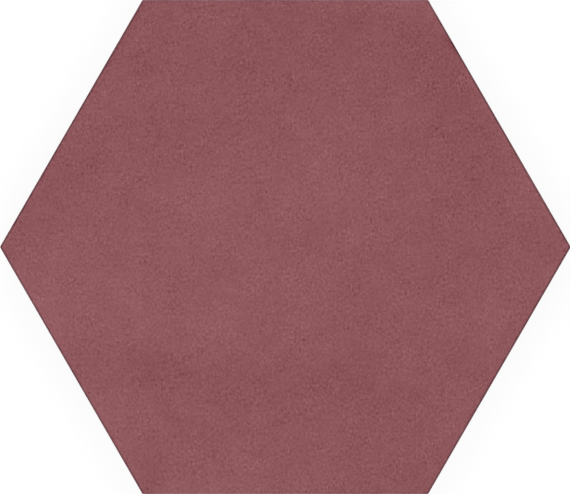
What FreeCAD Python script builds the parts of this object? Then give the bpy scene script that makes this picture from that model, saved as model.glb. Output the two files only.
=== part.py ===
import FreeCAD, Part
import math
import os

# Hexagonal porcelain floor tile, pressed and fired as one piece.
# It lies on its back, as on a floor: the walking face is up and the keying relief is underneath.
# Lengths are in millimetres. The origin is the middle of the back. Two corners of the hexagon
# point along X, and two of its sides are square to Y.

# Plan of the tile
across_flats = 216.5
corner_radius = 0.8

# Section through a side, from the walking face down to the back
thickness = 9.0
bevel_width = 0.9  # plan width of the sloping edge round the walking face
bevel_drop = 0.9  # height of that edge, so that it slopes at 45 degrees
bevel_ease_radius = 0.2  # takes the sharpness off both lines of the bevel
upright_height = 4.6  # square band below the bevel, which faces the grout joint
back_setback = 0.9  # how far the taper below that band draws the back edge in
shoulder_radius = 0.6  # eases the bend between that band and the taper
back_edge_radius = 0.4

# Keying relief: a honeycomb of shallow cells pressed into the back, with ribs between them
cell_across_flats = 21.5
cell_corner_radius = 1.5
cell_depth = 0.6
cell_draft_deg = 30.0  # slope of a cell's walls, which lets the punch out of the clay
rib_width = 3.0
perimeter_land = 8.0  # least width of the flat border between the relief and the back edge

# Geometry shared by every regular hexagon
SIDES = 6
SIDE_TURN_DEG = 60.0
HALF_TURN_DEG = SIDE_TURN_DEG / 2
FLATS_TO_CORNERS = 1 / math.cos(math.radians(HALF_TURN_DEG))

NODE = "hexagon_tile"
UP = FreeCAD.Vector(0, 0, 1)


def hexagon_corners(flats, z, first_corner_deg=0.0):
    """The six corners of a regular hexagon centred on the Z axis, at height z."""
    distance = flats / 2 * FLATS_TO_CORNERS
    angles = [math.radians(first_corner_deg + SIDE_TURN_DEG * i) for i in range(SIDES)]
    return [FreeCAD.Vector(distance * math.cos(a), distance * math.sin(a), z) for a in angles]


def rounded_outline(corners, radii):
    """Closed flat outline through the corners, each one rounded by its own radius."""
    starts = []
    arcs = []
    ends = []
    for i, corner in enumerate(corners):
        arriving = (corner - corners[i - 1]).normalize()
        leaving = (corners[(i + 1) % len(corners)] - corner).normalize()
        half_turn = arriving.getAngle(leaving) / 2
        setback = radii[i] * math.tan(half_turn)
        inward = (leaving - arriving).normalize()
        start = corner - arriving * setback
        middle = corner + inward * radii[i] * (1 / math.cos(half_turn) - 1)
        end = corner + leaving * setback
        arcs.append(Part.Arc(start, middle, end).toShape())
        starts.append(start)
        ends.append(end)
    lines = [Part.LineSegment(a, b).toShape() for a, b in zip(ends, starts[1:] + starts[:1])]
    return Part.Wire([edge for pair in zip(arcs, lines) for edge in pair])


def side_to_side_bar(turn_deg):
    """Bar with the tile's section, long enough to cross it: its two sides are sides of the tile."""
    half = across_flats / 2
    band_top_z = thickness - bevel_drop
    shoulder_z = band_top_z - upright_height
    back = (half - back_setback, 0)
    face = (half - bevel_width, thickness)
    right = [back, (half, shoulder_z), (half, band_top_z), face]
    left = [(-y, z) for y, z in reversed(right)]
    right_radii = [back_edge_radius, shoulder_radius, bevel_ease_radius, bevel_ease_radius]
    length = across_flats * FLATS_TO_CORNERS
    corners = [FreeCAD.Vector(-length / 2, y, z) for y, z in right + left]
    section = rounded_outline(corners, right_radii + right_radii[::-1])
    bar = Part.Face(section).extrude(FreeCAD.Vector(length, 0, 0))
    bar.rotate(FreeCAD.Vector(0, 0, 0), UP, turn_deg)
    return bar


def plain_body():
    """The tile without its relief: what three bars and an upright block with round corners share."""
    outline = rounded_outline(hexagon_corners(across_flats, 0), [corner_radius] * SIDES)
    body = Part.Face(outline).extrude(UP * thickness)
    for turn in range(SIDES // 2):
        body = body.common(side_to_side_bar(SIDE_TURN_DEG * turn))
    return body


def sloping_wall(low_edge, high_edge):
    """Wall between matching edges of two outlines: a plane along a side, a cone round a corner."""
    low_start, low_end = [vertex.Point for vertex in low_edge.Vertexes]
    high_start, high_end = [vertex.Point for vertex in high_edge.Vertexes]
    if isinstance(low_edge.Curve, Part.Circle):
        turn_deg = math.degrees(low_edge.LastParameter - low_edge.FirstParameter)
        slope_line = Part.makeLine(low_start, high_start)
        return slope_line.revolve(low_edge.Curve.Center, UP, turn_deg)
    return Part.Face(Part.makePolygon([low_start, low_end, high_end, high_start, low_start]))


def cell_outline(z):
    """Outline of the cell in the middle, at height z above the back: it closes in as z rises."""
    inset = z * math.tan(math.radians(cell_draft_deg))
    # the cells' flats face the tile's corners, so that rings of cells run along its sides
    corners = hexagon_corners(cell_across_flats - 2 * inset, z, HALF_TURN_DEG)
    return rounded_outline(corners, [cell_corner_radius - inset] * SIDES)


def cell_cutter():
    """Space of the cell in the middle, from below the back up to the cell's floor."""
    low = cell_outline(-cell_depth)
    high = cell_outline(cell_depth)
    walls = [sloping_wall(a, b) for a, b in zip(low.Edges, high.Edges)]
    return Part.Solid(Part.Shell([Part.Face(low), Part.Face(high)] + walls))


def cell_centres():
    """Centres of the cells: as many rings round the middle one as the border leaves room for."""
    pitch = cell_across_flats + rib_width
    row_spacing = pitch / FLATS_TO_CORNERS
    cell_corner = cell_across_flats / 2 * FLATS_TO_CORNERS
    reach = across_flats / 2 - back_setback - perimeter_land - cell_corner
    rings = int(reach / row_spacing)
    centres = []
    for row in range(-rings, rings + 1):
        first = max(-rings, -rings - row)
        last = min(rings, rings - row)
        for place in range(first, last + 1):
            centres.append(FreeCAD.Vector(pitch * (place + row / 2), row_spacing * row, 0))
    return centres


def hexagon_tile():
    """The finished tile: the plain body with the cells pressed into its back."""
    cutter = cell_cutter()
    centres = cell_centres()
    cells = Part.makeCompound([cutter.translated(centre) for centre in centres])
    tile = plain_body().cut(cells)
    print("cells in the back:", len(centres))
    return tile.Solids[0]


def main():
    os.makedirs("parts", exist_ok=True)
    tile = hexagon_tile()
    box = tile.BoundBox
    print("size in mm:", round(box.XLength, 3), round(box.YLength, 3), round(box.ZLength, 3))
    print("volume in cm3:", round(tile.Volume / 1000, 2), "valid:", tile.isValid())
    tile.exportStep("parts/" + NODE + ".step")


main()
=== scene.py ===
# %% [markdown]
# # A hexagonal floor tile
# This file dresses one porcelain floor tile. The CAD model gives its place and its size, and
# the cells below add what CAD leaves out: softened edges, the worked back, the matt face with
# its cloudy colour, and the light to see it by.
#
# Each step has two cells. The first says what the thing is on the real tile, how it could be
# made, and why one way was chosen. The second makes it and prints what it measured.

import math

import bmesh
import bpy
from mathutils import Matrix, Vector


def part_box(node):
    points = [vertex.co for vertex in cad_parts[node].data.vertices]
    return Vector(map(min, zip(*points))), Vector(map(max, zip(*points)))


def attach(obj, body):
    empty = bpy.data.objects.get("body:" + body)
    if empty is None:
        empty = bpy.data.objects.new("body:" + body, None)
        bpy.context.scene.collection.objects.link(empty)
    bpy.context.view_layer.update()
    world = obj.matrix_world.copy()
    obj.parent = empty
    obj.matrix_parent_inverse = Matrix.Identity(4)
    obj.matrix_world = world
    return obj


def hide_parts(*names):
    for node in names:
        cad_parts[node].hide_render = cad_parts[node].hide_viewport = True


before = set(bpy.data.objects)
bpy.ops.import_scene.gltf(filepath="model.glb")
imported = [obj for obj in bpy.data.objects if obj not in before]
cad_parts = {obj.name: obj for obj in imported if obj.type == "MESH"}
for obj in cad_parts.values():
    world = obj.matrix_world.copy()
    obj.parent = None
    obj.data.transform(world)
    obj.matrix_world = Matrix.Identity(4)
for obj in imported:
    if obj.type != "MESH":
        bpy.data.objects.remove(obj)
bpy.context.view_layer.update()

MM = 0.001
NODE = "hexagon_tile"
node_low, node_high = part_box(NODE)
THICKNESS = node_high.z - node_low.z
ACROSS_FLATS = node_high.y - node_low.y
print("tile in mm:", round(ACROSS_FLATS / MM, 2), "across flats,", round(THICKNESS / MM, 2), "thick")

# %% [markdown]
# ## Where the tile is seen from
# The tile is shown from straight above, so exactly that its outline is a regular hexagon. A
# long lens keeps such a view calm, and a camera that looks down its own Z axis needs no
# turning. The hexagon fills the width of the frame, so the distance follows from the lens:
# the outline is widest where the bevel meets the upright side, and that level is the one to
# measure from. The tile sits a fraction of a pixel off the middle of the frame.

# %% Camera
SIDES = 6
SIDE_TURN = math.radians(360 / SIDES)
FLATS_TO_CORNERS = 1 / math.cos(SIDE_TURN / 2)
BEVEL = 0.9 * MM

FRAME_WIDTH_PX = 570
CENTRE_TO_CORNER_PX = 285.5
TILE_RIGHT_OF_MIDDLE_PX = 0.34
TILE_ABOVE_MIDDLE_PX = 0.02
LENS_MM = 300
SENSOR_MM = 36

centre_to_corner = ACROSS_FLATS / 2 * FLATS_TO_CORNERS
metres_per_px = centre_to_corner / CENTRE_TO_CORNER_PX
outline_z = THICKNESS - BEVEL
camera_distance = metres_per_px * FRAME_WIDTH_PX * LENS_MM / SENSOR_MM

bpy.ops.object.camera_add(
    location=(
        -TILE_RIGHT_OF_MIDDLE_PX * metres_per_px,
        -TILE_ABOVE_MIDDLE_PX * metres_per_px,
        outline_z + camera_distance,
    ),
    rotation=(0, 0, 0),
)
camera = bpy.context.object
camera.name = "camera"
camera.data.lens = LENS_MM
camera.data.sensor_width = SENSOR_MM
camera.data.sensor_fit = "HORIZONTAL"
camera.data.clip_start = 0.01
camera.data.clip_end = 20
bpy.context.scene.camera = camera
print("camera is", round(camera_distance, 3), "m above the tile")

# %% [markdown]
# ## Tools for the bench
# Most of the modelling is the same three moves: open a piece in edit mode, select some of its
# edges or faces by where they are, and run one operator on them. Operators act on whatever is
# selected, so the piece is opened with nothing selected, and the selection is made in code.

# %% Opening a piece and selecting in it
def open_piece(piece):
    """Open one piece in edit mode, with nothing selected in it."""
    bpy.ops.object.select_all(action="DESELECT")
    piece.select_set(True)
    bpy.context.view_layer.objects.active = piece
    bpy.ops.object.mode_set(mode="EDIT")
    bpy.ops.mesh.select_all(action="DESELECT")


def close_piece():
    """Leave edit mode."""
    bpy.ops.object.mode_set(mode="OBJECT")


def select_only(piece, kind, wanted):
    """Select only the edges or the faces that the test accepts, and return how many they are."""
    bpy.ops.mesh.select_mode(type=kind)
    bpy.ops.mesh.select_all(action="DESELECT")
    mesh = bmesh.from_edit_mesh(piece.data)
    elements = mesh.edges if kind == "EDGE" else mesh.faces
    chosen = [element for element in elements if wanted(element)]
    for element in chosen:
        element.select_set(True)
    bmesh.update_edit_mesh(piece.data)
    return len(chosen)


def select_edges(piece, wanted):
    """Select only the edges that the test accepts."""
    return select_only(piece, "EDGE", wanted)


def select_faces(piece, wanted):
    """Select only the faces that the test accepts."""
    return select_only(piece, "FACE", wanted)


SAME_LEVEL = 0.02 * MM


def at_level(z):
    """Test for an edge that lies flat at a height."""
    return lambda edge: all(abs(vert.co.z - z) < SAME_LEVEL for vert in edge.verts)


def rises(edge):
    """Test for an edge that isn't flat."""
    return abs(edge.verts[0].co.z - edge.verts[1].co.z) > SAME_LEVEL


def round_over(radius, turn):
    """How far from an edge a rounding of that radius starts, where two faces meet at a turn."""
    return radius * math.tan(turn / 2)


# %% [markdown]
# ## The tile's blank
# The real blank is powder pressed in a steel die, then ground along its sides after firing.
# From the top down it has a flat face, a narrow 45 degree bevel, an upright ground band, and a
# slight taper that lets it leave the die. A six-sided cylinder is the right start: one bisect
# gives it the line where the taper begins, one resize draws the back in, and bevels do the
# rest. The bevel round the face is cut before the corners are rounded, because its width is
# more than the corners' radius, and an outline can't be drawn in by more than that.

# %% Press the blank
CORNER_RADIUS = 0.8 * MM
CORNER_STEPS = 4
BAND_HEIGHT = 4.6 * MM
BACK_SETBACK = 0.9 * MM
shoulder_z = THICKNESS - BEVEL - BAND_HEIGHT

bpy.ops.object.select_all(action="DESELECT")
bpy.ops.mesh.primitive_cylinder_add(
    vertices=SIDES,
    radius=centre_to_corner,
    depth=THICKNESS,
    location=(0, 0, THICKNESS / 2),
    rotation=(0, 0, SIDE_TURN / 2),
)
tile = bpy.context.object
tile.name = "tile"
bpy.ops.object.transform_apply(location=True, rotation=True, scale=True)

open_piece(tile)
bpy.ops.mesh.select_all(action="SELECT")
bpy.ops.mesh.bisect(plane_co=(0, 0, shoulder_z), plane_no=(0, 0, 1))
select_faces(tile, lambda face: face.calc_center_median().z < SAME_LEVEL)
drawn_in = 1 - 2 * BACK_SETBACK / ACROSS_FLATS
bpy.ops.transform.resize(value=(drawn_in, drawn_in, 1), center_override=(0, 0, 0))
print("edges round the face:", select_edges(tile, at_level(THICKNESS)))
bpy.ops.mesh.bevel(offset=BEVEL, segments=1, affect="EDGES")
print("corner edges:", select_edges(tile, rises))
corner_offset = round_over(CORNER_RADIUS, SIDE_TURN)
bpy.ops.mesh.bevel(offset=corner_offset, segments=CORNER_STEPS, affect="EDGES")
close_piece()

# %% [markdown]
# ## The blank's lines
# No line on a fired tile is razor sharp. Each one is eased by its own small radius: the two
# lines of the bevel only just, the bend above the taper and the back edge rather more. Two
# segments are enough at this size, because what they have to do is catch the light.

# %% Ease the lines
SQUARE = math.radians(90)
EASE_STEPS = 2
BEVEL_EASE = 0.2 * MM
SHOULDER_EASE = 0.6 * MM
BACK_EDGE_EASE = 0.4 * MM
taper_turn = math.atan2(BACK_SETBACK, shoulder_z)


def ease(level, radius, turn):
    """Round every edge that lies at a level."""
    count = select_edges(tile, at_level(level))
    offset = round_over(radius, turn)
    bpy.ops.mesh.bevel(offset=offset, segments=EASE_STEPS, affect="EDGES")
    print("eased", count, "edges at", round(level / MM, 2), "mm")


open_piece(tile)
ease(THICKNESS, BEVEL_EASE, SQUARE / 2)
ease(THICKNESS - BEVEL, BEVEL_EASE, SQUARE / 2)
ease(shoulder_z, SHOULDER_EASE, taper_turn)
ease(0, BACK_EDGE_EASE, SQUARE - taper_turn)
close_piece()

# %% [markdown]
# ## The keying relief
# The back isn't shown, and it is finished as such backs are: a honeycomb of shallow cells
# between narrow ribs, which the adhesive grips. A boolean with many cutters would do it, but
# it leaves long slivers between the holes. A sheet of touching hexagons is cleaner. Each
# hexagon is inset once by half a rib, which leaves the ribs, and once more with a depth, which
# makes a cell with sloping walls.

# %% Lay out the cells
CELL_FLATS = 21.5 * MM
RIB_WIDTH = 3.0 * MM
RINGS = 4
pitch = CELL_FLATS + RIB_WIDTH
row_spacing = pitch / FLATS_TO_CORNERS


def cell_centres():
    """Centres of the middle cell and of the rings of cells round it."""
    centres = []
    for row in range(-RINGS, RINGS + 1):
        first = max(-RINGS, -RINGS - row)
        last = min(RINGS, RINGS - row)
        for place in range(first, last + 1):
            centres.append(Vector((pitch * (place + row / 2), row_spacing * row, 0)))
    return centres


bpy.ops.object.select_all(action="DESELECT")
bpy.ops.mesh.primitive_circle_add(
    vertices=SIDES, radius=pitch / 2 * FLATS_TO_CORNERS, fill_type="NGON", location=(0, 0, 0)
)
relief = bpy.context.object
relief.name = "relief"
for centre in cell_centres():
    if centre.length > SAME_LEVEL:
        cell = relief.copy()
        cell.data = relief.data.copy()
        cell.location = centre
        bpy.context.collection.objects.link(cell)
        cell.select_set(True)
bpy.context.view_layer.objects.active = relief
bpy.ops.object.join()
print("cells:", len(relief.data.polygons))

# %% [markdown]
# ## Sinking the cells
# The hexagons now touch but don't share corners, so their doubles are merged first. The walls
# of a cell lean outwards by 30 degrees, which is what lets the punch come away, and the
# corners are rounded for the same reason.

# %% Press the cells in
CELL_DEPTH = 0.6 * MM
CELL_DRAFT = math.radians(30)
CELL_CORNER_RADIUS = 1.5 * MM
CELL_CORNER_STEPS = 3
CREST_EASE = 0.25 * MM
FLOOR_EASE = 0.35 * MM


def is_mouth(edge):
    """Test for an edge at the level of the back that a cell's wall comes up to."""
    flat = at_level(0)(edge)
    return flat and any(vert.co.z > SAME_LEVEL for face in edge.link_faces for vert in face.verts)


open_piece(relief)
bpy.ops.mesh.select_all(action="SELECT")
bpy.ops.mesh.remove_doubles(threshold=SAME_LEVEL)
bpy.ops.mesh.select_mode(type="FACE")
bpy.ops.mesh.select_all(action="SELECT")
bpy.ops.mesh.inset(thickness=RIB_WIDTH / 2, use_individual=True)
bpy.ops.mesh.inset(
    thickness=CELL_DEPTH * math.tan(CELL_DRAFT), depth=CELL_DEPTH, use_individual=True
)
print("sloping edges:", select_edges(relief, rises))
cell_corner_offset = round_over(CELL_CORNER_RADIUS, SIDE_TURN)
bpy.ops.mesh.bevel(offset=cell_corner_offset, segments=CELL_CORNER_STEPS, affect="EDGES")
wall_turn = SQUARE - CELL_DRAFT
print("edges at the mouths:", select_edges(relief, is_mouth))
crest_offset = round_over(CREST_EASE, wall_turn)
bpy.ops.mesh.bevel(offset=crest_offset, segments=EASE_STEPS, affect="EDGES")
print("edges at the floors:", select_edges(relief, at_level(CELL_DEPTH)))
floor_offset = round_over(FLOOR_EASE, wall_turn)
bpy.ops.mesh.bevel(offset=floor_offset, segments=EASE_STEPS, affect="EDGES")
close_piece()

# %% [markdown]
# ## Back and relief in one piece
# The relief takes the place of the blank's plain back. The plain face is deleted, the two
# meshes are joined, and the flat border between them is filled from edge loop to edge loop.
# Last, the faces are all turned outwards, because the hexagons were drawn facing up.

# %% Join the relief to the blank
def is_open(edge):
    """Test for an edge with a face on one side only."""
    return len(edge.link_faces) == 1


open_piece(tile)
select_faces(tile, lambda face: all(abs(vert.co.z) < SAME_LEVEL for vert in face.verts))
bpy.ops.mesh.delete(type="FACE")
close_piece()

bpy.ops.object.select_all(action="DESELECT")
relief.select_set(True)
tile.select_set(True)
bpy.context.view_layer.objects.active = tile
bpy.ops.object.join()

open_piece(tile)
print("edges round the gap:", select_edges(tile, is_open))
bpy.ops.mesh.fill(use_beauty=True)
bpy.ops.mesh.select_all(action="SELECT")
bpy.ops.mesh.normals_make_consistent(inside=False)
print("edges left open:", select_edges(tile, is_open))
close_piece()

# %% [markdown]
# ## Smooth bevels, flat faces
# A large flat face next to a small bevel picks up a false gradient when it is smoothed. Marking
# the sharp lines by angle keeps the facets apart, and the Weighted Normal modifier lets the
# large faces decide the direction of the shading, so that they stay flat and only the bevels
# turn.

# %% Shade the tile
SMOOTH_UP_TO = math.radians(40)
bpy.ops.object.select_all(action="DESELECT")
tile.select_set(True)
bpy.context.view_layer.objects.active = tile
bpy.ops.object.shade_smooth_by_angle(angle=SMOOTH_UP_TO)
bpy.ops.object.modifier_add(type="WEIGHTED_NORMAL")
weighting = tile.modifiers[-1]
weighting.keep_sharp = True
bpy.ops.object.modifier_apply(modifier=weighting.name)
triangles = sum(len(polygon.vertices) - 2 for polygon in tile.data.polygons)
print("tile:", len(tile.data.polygons), "faces,", triangles, "triangles")
print("size in mm:", [round(side / MM, 2) for side in tile.dimensions])

# %% [markdown]
# ## Shader sums in plain writing
# A finish is mostly arithmetic: a height makes a mask, a mask chooses a colour. Written out as
# nodes one by one it can't be read, so a number on its way through the shader is wrapped in a
# small class, and `a * b + 1` on it adds the Math nodes. Everything else is added by one method
# that takes the node's type, its settings, and what goes into its sockets.

# %% A small language for finishes
class Number:
    """A number that varies over the surface. Sums written on it become Math nodes."""

    def __init__(self, finish, socket):
        self.finish = finish
        self.socket = socket

    def math(self, operation, *inputs):
        sockets = dict(enumerate(inputs))
        return self.finish.add("ShaderNodeMath", {"operation": operation}, sockets)

    def __add__(self, other):
        return self.math("ADD", self, other)

    def __radd__(self, other):
        return self.math("ADD", other, self)

    def __sub__(self, other):
        return self.math("SUBTRACT", self, other)

    def __rsub__(self, other):
        return self.math("SUBTRACT", other, self)

    def __mul__(self, other):
        return self.math("MULTIPLY", self, other)

    def __rmul__(self, other):
        return self.math("MULTIPLY", other, self)

    def size(self):
        return self.math("ABSOLUTE", self)

    def largest(self, other):
        return self.math("MAXIMUM", self, other)

    def part(self, axis):
        """One of the three numbers of a vector."""
        return self.finish.add("ShaderNodeSeparateXYZ", {}, {0: self}, axis)

    def vector(self, operation, *inputs):
        """A sum on a vector or a colour, which a Math node would turn into one number."""
        sockets = dict(enumerate((self,) + inputs))
        return self.finish.add("ShaderNodeVectorMath", {"operation": operation}, sockets)

    def length(self):
        return self.finish.add(
            "ShaderNodeVectorMath", {"operation": "LENGTH"}, {0: self}, "Value"
        )


class Finish:
    """The nodes of a material, or of the world, added one by one."""

    def __init__(self, owner):
        owner.use_nodes = True
        self.owner = owner
        self.nodes = owner.node_tree.nodes
        self.links = owner.node_tree.links
        self.nodes.clear()

    def add(self, kind, settings, sockets, output=0):
        """Add a node, set it up, fill or link its sockets, and return one of its outputs."""
        node = self.nodes.new(kind)
        for name, value in settings.items():
            setattr(node, name, value)
        for key, value in sockets.items():
            socket = self.find(node.inputs, key)
            if isinstance(value, Number):
                self.links.new(value.socket, socket)
            else:
                socket.default_value = value
        return Number(self, self.find(node.outputs, output)) if node.outputs else None

    @staticmethod
    def find(sockets, key):
        """A socket by its position, its identifier or its name."""
        if isinstance(key, int):
            return sockets[key]
        by_identifier = [socket for socket in sockets if socket.identifier == key]
        return by_identifier[0] if by_identifier else sockets[key]


def ramp(value, start, end):
    """A soft step: 0 up to start, 1 from end on, with no kink between. It also runs backwards."""
    return value.finish.add(
        "ShaderNodeMapRange",
        {"interpolation_type": "SMOOTHSTEP"},
        {"Value": value, "From Min": start, "From Max": end},
    )


def noise(place, size, detail=2.0, roughness=0.5, distortion=0.0):
    """Fractal noise with blobs of a size in metres. It swings to either side of 0."""
    cloud = place.finish.add(
        "ShaderNodeTexNoise",
        {},
        {
            "Vector": place,
            "Scale": 1 / size,
            "Detail": detail,
            "Roughness": roughness,
            "Distortion": distortion,
        },
    )
    return cloud - 0.5


def mix_colours(factor, first, second):
    """First colour where the factor is 0, second where it is 1."""
    return factor.finish.add(
        "ShaderNodeMix",
        {"data_type": "RGBA"},
        {"Factor_Float": factor, "A_Color": first, "B_Color": second},
        "Result_Color",
    )


# %% [markdown]
# ## Colours, read as the photo gives them
# The face is a dusty burgundy. A photo's colours are coded for a screen, and a shader wants
# plain amounts of light, so each value is decoded once. A matt skin also mirrors about one
# hundredth of the white round it, and keeps a little light from the colour beneath. Both are
# taken into account, so that the tile comes out as the photo shows it and not chalkier.
#
# The cloudiness of the face is small, a few steps of a screen's 255 either way, and it is the
# same number of steps in red, green and blue. So the finish adds up its tone in those steps,
# and `step_of` says how much light one step is worth in each channel.

# %% Colours of the tile
FACE_LEVELS = (142.4, 87.4, 92.4)
# the body's own colour, darkened further as painted shade for the dark line along the bevels
SHADED_BODY_LEVELS = (116.5, 73.0, 79.0)
CHALK_LEVELS = (176.0, 160.0, 156.0)
MIRRORED = 0.009
LET_THROUGH = 0.968


def light_of(level):
    """Amount of light that a screen level from 0 to 255 stands for, by the sRGB curve."""
    return ((level / 255 + 0.055) / 1.055) ** 2.4


def colour_of(levels):
    """Shader colour that comes out as three screen levels."""
    return tuple((light_of(level) - MIRRORED) / LET_THROUGH for level in levels)


def step_of(levels):
    """How much a shader colour changes for one step of each screen level."""
    bright = colour_of([level + 0.5 for level in levels])
    dark = colour_of([level - 0.5 for level in levels])
    return tuple(more - less for more, less in zip(bright, dark))


def toned(tone, levels):
    """A colour moved up or down by a tone in screen steps."""
    steps = tone.finish.add("ShaderNodeCombineXYZ", {}, {0: tone, 1: tone, 2: tone})
    return steps.vector("MULTIPLY_ADD", step_of(levels), colour_of(levels))


print("face colour:", [round(value, 4) for value in colour_of(FACE_LEVELS)])

# %% [markdown]
# ## The cloudy tone of the face
# Seen at arm's length the face isn't one colour. Broad soft clouds lie where the coloured
# slip went on a little thicker or thinner: darker along the far side and in a band across
# the near third, paler in the middle and at the left. They are placed one by one, each one as
# an ellipse whose edge fades out, and the places they are drawn at are pushed about by a slow
# noise, so that they don't read as ellipses. The last one is small and much darker than the
# others: a mark right on the far right side.

# %% Clouds of the face
# each cloud: centre x and y, half width and half height in mm, and its tone in screen steps
CLOUDS = {
    "far side": (6, 98, 72, 24, -3.5),
    "far left": (-48, 82, 28, 18, -2.0),
    "far right": (76, 54, 22, 34, -4.5),
    "far right spot": (64, 90, 20, 18, -4.0),
    "under the far side": (42, 74, 18, 13, -2.0),
    "left shoulder": (-62, 46, 22, 20, -2.0),
    "dark patch": (-12, 54, 18, 13, -2.5),
    "right of middle": (64, -2, 18, 22, -3.0),
    "right of middle, near": (38, -28, 18, 26, -3.0),
    "middle": (-26, -4, 68, 46, 2.5),
    "middle spot": (-20, 0, 12, 9, 2.5),
    "middle left": (-34, 22, 18, 18, 2.0),
    "left of middle": (-64, 20, 14, 11, -2.0),
    "middle right": (22, 32, 26, 34, 1.5),
    "right patch": (60, 30, 16, 12, 2.0),
    "left corner": (-114, -2, 14, 12, 1.5),
    "left edge": (-108, -26, 22, 26, 5.5),
    "left edge, near": (-84, -42, 14, 10, 3.0),
    "left side": (-78, -20, 30, 24, 1.5),
    "pale band": (-46, -34, 40, 13, 4.0),
    "pale patch right": (90, -34, 20, 12, 2.0),
    "right corner": (114, 2, 14, 16, -2.0),
    "dark band": (18, -60, 46, 14, -4.0),
    "dark band drop": (4, -76, 16, 14, -2.0),
    "dark band left": (-54, -57, 24, 12, -4.5),
    "dark band right": (78, -52, 14, 14, -2.5),
    "near left": (-72, -72, 20, 24, 3.0),
    "near right": (44, -92, 26, 24, -3.5),
    "near side": (-26, -97, 26, 18, 2.5),
    "near left corner": (-62, -104, 10, 12, -3.5),
    "mark on the far right side": (72.8, 94.7, 5, 5, -17.0),
}
CLOUD_ENDS_AT = 1.4  # in half widths from its centre
WARP_SIZE = 40 * MM
WARP_REACH = 22 * MM


def warped(place):
    """The place pushed about by a slow noise."""
    inputs = {"Vector": place, "Scale": 1 / WARP_SIZE, "Detail": 3.0}
    field = place.finish.add("ShaderNodeTexNoise", {}, inputs, "Color")
    push = field.vector("SUBTRACT", (0.5, 0.5, 0.5))
    return push.vector("MULTIPLY_ADD", (WARP_REACH, WARP_REACH, 0), place)


def cloud_tone(place):
    """Tone of all the clouds together, in screen steps."""
    bent = warped(place)
    tones = []
    for x, y, half_width, half_height, tone in CLOUDS.values():
        offset = bent.vector("SUBTRACT", (x * MM, y * MM, 0))
        scaled = offset.vector("MULTIPLY", (1 / (half_width * MM), 1 / (half_height * MM), 0))
        tones.append(ramp(scaled.length(), CLOUD_ENDS_AT, 0.0) * tone)
    return sum(tones[1:], tones[0])


print("clouds:", len(CLOUDS))

# %% [markdown]
# ## From clouds down to grain
# Under the clouds the same cloudiness goes on at every smaller scale. Plain fractal noise
# does that, if each octave is nearly as strong as the one before it. Along the sides the slip
# is a touch thinner and the face paler, most of all at the near left and the far right.
#
# Then comes the grain of the pressed powder, about a millimetre across. One octave of noise
# keeps it to one size, and a little distortion curls its blobs into short strokes. The face
# cuts through this noise as a knife cuts a loaf. A cut halfway between two layers of the
# noise's lattice shows slow swells too, and one on a layer shows only the grain, so the
# grain's size divides the thickness evenly. A few specks stand out: a noise multiplied by
# itself twice is almost nothing except at its peaks. All of it is stronger in some patches
# than in others.

# %% Tone of the face
RIM_WIDTH = 7 * MM
RIM_TONE = 0.8
RIM_LEAN = 2.4
LEAN_FULL_AT = 70 * MM
MOTTLE_SIZE = 35 * MM
MOTTLE_TONE = 24.0
BLOTCH_SIZE = 6 * MM
BLOTCH_TONE = 9.0
GRAIN_SIZE = THICKNESS / 8
GRAIN_TONE = 30.0
GRAIN_CURL = 0.6
DUST_SIZE = 0.6 * MM
DUST_TONE = 5.0
SPECK_SIZE = 1.0 * MM
SPECK_TONE = 350.0
CALM_SIZE = 11 * MM
CALM_REACH = 2.0
GRAIN_RUN = (1.16, 0.9, 1.0)


def from_side(place):
    """Distance from the nearest side of the hexagon, measured in plan."""
    x = place.part("X").size()
    y = place.part("Y").size()
    slanting = x * math.cos(SIDE_TURN / 2) + y * math.sin(SIDE_TURN / 2)
    return ACROSS_FLATS / 2 - slanting.largest(y)


def rim_tone(place):
    """Paler along the sides, most of all along the near left and the far right one."""
    lean = place.part("X") * place.part("Y") * (1 / LEAN_FULL_AT**2)
    return ramp(from_side(place), RIM_WIDTH, 0.0) * (lean * RIM_LEAN + RIM_TONE)


def broad_tone(place):
    """What varies the face's colour over more than a few millimetres, in screen steps."""
    mottle = noise(place, MOTTLE_SIZE, detail=6.0, roughness=0.9) * MOTTLE_TONE
    blotches = noise(place, BLOTCH_SIZE, detail=1.0) * BLOTCH_TONE
    return cloud_tone(place) + rim_tone(place) + mottle + blotches


def grain_tone(place):
    """The grain of the pressed powder, in screen steps."""
    spread = place.vector("MULTIPLY", GRAIN_RUN)
    grain = noise(spread, GRAIN_SIZE, detail=0.0, distortion=GRAIN_CURL) * GRAIN_TONE
    dust = noise(spread, DUST_SIZE, detail=0.0) * DUST_TONE
    peak = noise(spread, SPECK_SIZE, detail=0.0)
    specks = peak * peak * peak * SPECK_TONE
    calm = 1 + noise(place, CALM_SIZE, detail=3.0) * CALM_REACH
    return (grain + dust + specks) * calm


print("grain in mm:", round(GRAIN_SIZE / MM, 3))

# %% [markdown]
# ## The bare body
# One material covers the tile, because the real one is one fired body. Height tells it what
# it is painting. The matt face ends where the bevel starts. The bevel and the upright side
# are ground and show the bare body, darker than the face, with fine streaks that run along
# the side. The darkness is partly the body's own colour and partly painted shade, which draws
# the dark line along the slanted bevels. What varies the face goes on over its edge, because
# it lies in the body too: the clouds show more in the bare body, and the grain, which
# grinding wears down, a little less. The back is rough and carries a chalky wash from the
# kiln on the crests of its ribs.

# %% Bare body
BODY_BROAD = 1.5
BODY_GRAIN = 0.8
BODY_MOTTLE_SIZE = 12 * MM
BODY_MOTTLE_TONE = 22.0
BAND_FADE = 0.3 * MM
STREAK_WIDTH = 0.35 * MM
STREAK_TONE = 26.0
STREAK_DRAWN_OUT = 0.04
CREST_FADE = 0.25 * MM
WASH_SIZE = 24 * MM
WASH_BARE_BELOW = -0.10
WASH_FULL_FROM = 0.22
WASH_COVER = 0.7


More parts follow.
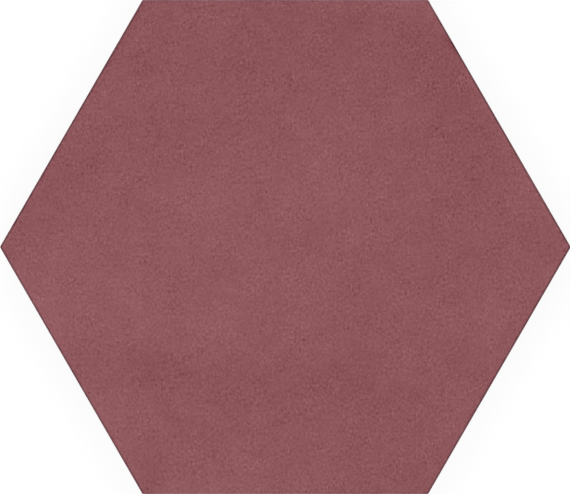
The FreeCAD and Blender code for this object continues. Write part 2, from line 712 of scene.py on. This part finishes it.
def body_tone(place, broad, grain):
    """Tone of the bare body in screen steps, with its grinding streaks."""
    on_band = ramp(place.part("Z"), shoulder_z - BAND_FADE, shoulder_z + BAND_FADE)
    drawn_out = place.vector("MULTIPLY", (STREAK_DRAWN_OUT, STREAK_DRAWN_OUT, 1))
    streaks = noise(drawn_out, STREAK_WIDTH, detail=3.0, roughness=0.6) * STREAK_TONE
    mottle = noise(place, BODY_MOTTLE_SIZE, detail=6.0, roughness=0.7) * BODY_MOTTLE_TONE
    return broad * BODY_BROAD + grain * BODY_GRAIN + mottle + streaks * on_band


def kiln_wash(place):
    """How thickly the chalky wash covers the crests of the back, from 0 to 1."""
    on_crest = ramp(place.part("Z"), CREST_FADE, 0.0)
    patches = noise(place, WASH_SIZE, detail=5.0, roughness=0.65)
    return ramp(patches, WASH_BARE_BELOW, WASH_FULL_FROM) * on_crest * WASH_COVER


def bare_body_with_shade(place, broad, grain):
    """Colour of the body where it isn't coated: its sides and its back. Its darkness is partly
    painted shade.
    """
    body = toned(body_tone(place, broad, grain), SHADED_BODY_LEVELS)
    return mix_colours(kiln_wash(place), body, colour_of(CHALK_LEVELS) + (1.0,))


print("body colour:", [round(value, 4) for value in colour_of(SHADED_BODY_LEVELS)])

# %% [markdown]
# ## Skin of the tile
# What is left is how the surface takes the light. The matt face is a little smoother than the
# ground body, and paler spots are a touch rougher. The skin isn't flat either: a fine
# roughness and a wider ripple, both far thinner than a hair, tilt the light by bump.

# %% Finish of the tile
# how far below the face's plane its coat starts to fade, and where it has ended
COAT_FADES_FROM = 0.01 * MM
COAT_ENDS_AT = 0.05 * MM
BODY_ROUGHNESS = 0.94
FACE_SMOOTHER_BY = 0.20
ROUGHER_PER_STEP = 0.004
FINE_SIZE = 0.5 * MM
FINE_HEIGHT_MM = 0.016
RIPPLE_SIZE = 2.2 * MM
RIPPLE_HEIGHT_MM = 0.028
SHEEN = 0.2


def skin_bump(place):
    """The skin's unevenness, as a direction for the light to meet."""
    fine = noise(place, FINE_SIZE, detail=3.0, roughness=0.6) * FINE_HEIGHT_MM
    ripple = noise(place, RIPPLE_SIZE, detail=2.0) * RIPPLE_HEIGHT_MM
    heights = {"Strength": 1.0, "Distance": MM, "Height": fine + ripple}
    return place.finish.add("ShaderNodeBump", {}, heights)


def tile_finish():
    """The tile's material."""
    finish = Finish(bpy.data.materials.new("burgundy_porcelain"))
    place = finish.add("ShaderNodeTexCoord", {}, {}, "Object")
    on_face = ramp(place.part("Z"), THICKNESS - COAT_ENDS_AT, THICKNESS - COAT_FADES_FROM)
    broad = broad_tone(place)
    grain = grain_tone(place)
    tone = broad + grain
    skin = finish.add(
        "ShaderNodeBsdfPrincipled",
        {},
        {
            "Base Color": mix_colours(
                on_face, bare_body_with_shade(place, broad, grain), toned(tone, FACE_LEVELS)
            ),
            "Roughness": BODY_ROUGHNESS - on_face * FACE_SMOOTHER_BY + tone * ROUGHER_PER_STEP,
            "Specular IOR Level": SHEEN,
            "Normal": skin_bump(place),
        },
    )
    finish.add("ShaderNodeOutputMaterial", {}, {"Surface": skin})
    return finish


porcelain = tile_finish()
tile.data.materials.clear()
tile.data.materials.append(porcelain.owner)
print("nodes in the tile's finish:", len(porcelain.nodes))

# %% [markdown]
# ## A pale floor that stays white
# The photo's background is plain white. Turning the lamps up until the floor burns out would
# burn the tile too. Instead the floor glows, but only towards the camera and in reflections:
# that lifts it to white and adds no light to the tile. The light that falls on it still
# counts, so the tile keeps a faint shadow where it stands. The lamps' light fades with
# distance, so further out the glow grows to full white.

# %% Floor
BLACK = (0.0, 0.0, 0.0, 1.0)
WHITE = (1.0, 1.0, 1.0, 1.0)
FLOOR_SIZE = 8.0
FLOOR_GAP = 0.05 * MM
FLOOR_COLOUR = (0.12, 0.12, 0.12, 1.0)
FLOOR_GLOW = (0.90, 0.90, 0.90, 1.0)
GLOW_FULL_FROM = 0.9


def seen_directly(finish):
    """1 for a camera ray or a reflection, 0 for the light that surfaces throw on each other."""
    kinds = ["Is Camera Ray", "Is Glossy Ray", "Is Transmission Ray"]
    rays = [finish.add("ShaderNodeLightPath", {}, {}, kind) for kind in kinds]
    return rays[0].largest(rays[1]).largest(rays[2])


def floor_finish():
    """The floor's material."""
    finish = Finish(bpy.data.materials.new("pale_floor"))
    place = finish.add("ShaderNodeTexCoord", {}, {}, "Object")
    far_off = ramp(place.length(), GLOW_FULL_FROM / 2, GLOW_FULL_FROM)
    glow = mix_colours(far_off, FLOOR_GLOW, WHITE)
    seen = mix_colours(seen_directly(finish), BLACK, glow)
    skin = finish.add(
        "ShaderNodeBsdfPrincipled",
        {},
        {
            "Base Color": FLOOR_COLOUR,
            "Roughness": 1.0,
            "Specular IOR Level": 0.0,
            "Emission Color": seen,
            "Emission Strength": 1.0,
        },
    )
    finish.add("ShaderNodeOutputMaterial", {}, {"Surface": skin})
    return finish


bpy.ops.object.select_all(action="DESELECT")
bpy.ops.mesh.primitive_plane_add(size=FLOOR_SIZE, location=(0, 0, -FLOOR_GAP))
floor = bpy.context.object
floor.name = "floor"
floor.data.materials.append(floor_finish().owner)
print("floor in m:", [round(side, 2) for side in floor.dimensions])

# %% [markdown]
# ## Light as on a copy stand
# Flat things are photographed between soft lamps that stand low, two on one side and two on
# the other. A lamp straight above would be mirrored in the face and wash its colour out. Low
# lamps miss the camera, light the face evenly, and tell the sides apart: the bevels on the far
# and the near side are nearly as bright as the face, and the slanting ones are darker. With a
# single lamp on each side the corners that point away from both would be nearly black. The
# lamps' strength is worked out, not tried: a white surface that gets pi units of light looks
# exactly white, so the lamps make up what the sky leaves short of that.

# %% Sky and lamps
SKY = 0.04
LAMP_DISTANCE = 2.4
LAMP_HEIGHT = math.radians(20)
LAMP_SIZE = 1.2
# direction of each lamp in degrees, with the far side at 90
LAMPS = {
    "far_left": 105,
    "far_right": 75,
    "near_left": 255,
    "near_right": 285,
}


def sky_finish():
    """White to the camera and in reflections, dim as a light."""
    finish = Finish(bpy.data.worlds.new("studio"))
    dim = (SKY, SKY, SKY, 1.0)
    colour = mix_colours(seen_directly(finish), dim, WHITE)
    background = finish.add("ShaderNodeBackground", {}, {"Color": colour, "Strength": 1.0})
    finish.add("ShaderNodeOutputWorld", {}, {"Surface": background})
    return finish


bpy.context.scene.world = sky_finish().owner
light_short_of_white = math.pi * (1 - SKY)
light_per_watt = math.sin(LAMP_HEIGHT) / (math.pi * LAMP_DISTANCE**2)
watts = light_short_of_white / light_per_watt / len(LAMPS)
for name, turn in LAMPS.items():
    around = math.radians(turn)
    flat = LAMP_DISTANCE * math.cos(LAMP_HEIGHT)
    up = LAMP_DISTANCE * math.sin(LAMP_HEIGHT)
    place = Vector((flat * math.cos(around), flat * math.sin(around), up))
    bpy.ops.object.light_add(
        type="AREA", location=place, rotation=place.to_track_quat("Z", "Y").to_euler()
    )
    lamp = bpy.context.object
    lamp.name = "lamp_" + name
    lamp.data.shape = "SQUARE"
    lamp.data.size = LAMP_SIZE
    lamp.data.energy = watts
    lamp.visible_camera = False
print("lamps:", len(LAMPS), "of about", round(watts, 2), "W")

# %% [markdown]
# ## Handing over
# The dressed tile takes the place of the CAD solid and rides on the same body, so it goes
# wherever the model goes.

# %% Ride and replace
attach(tile, "root")
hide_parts(NODE)

bpy.context.scene.view_settings.view_transform = "Standard"
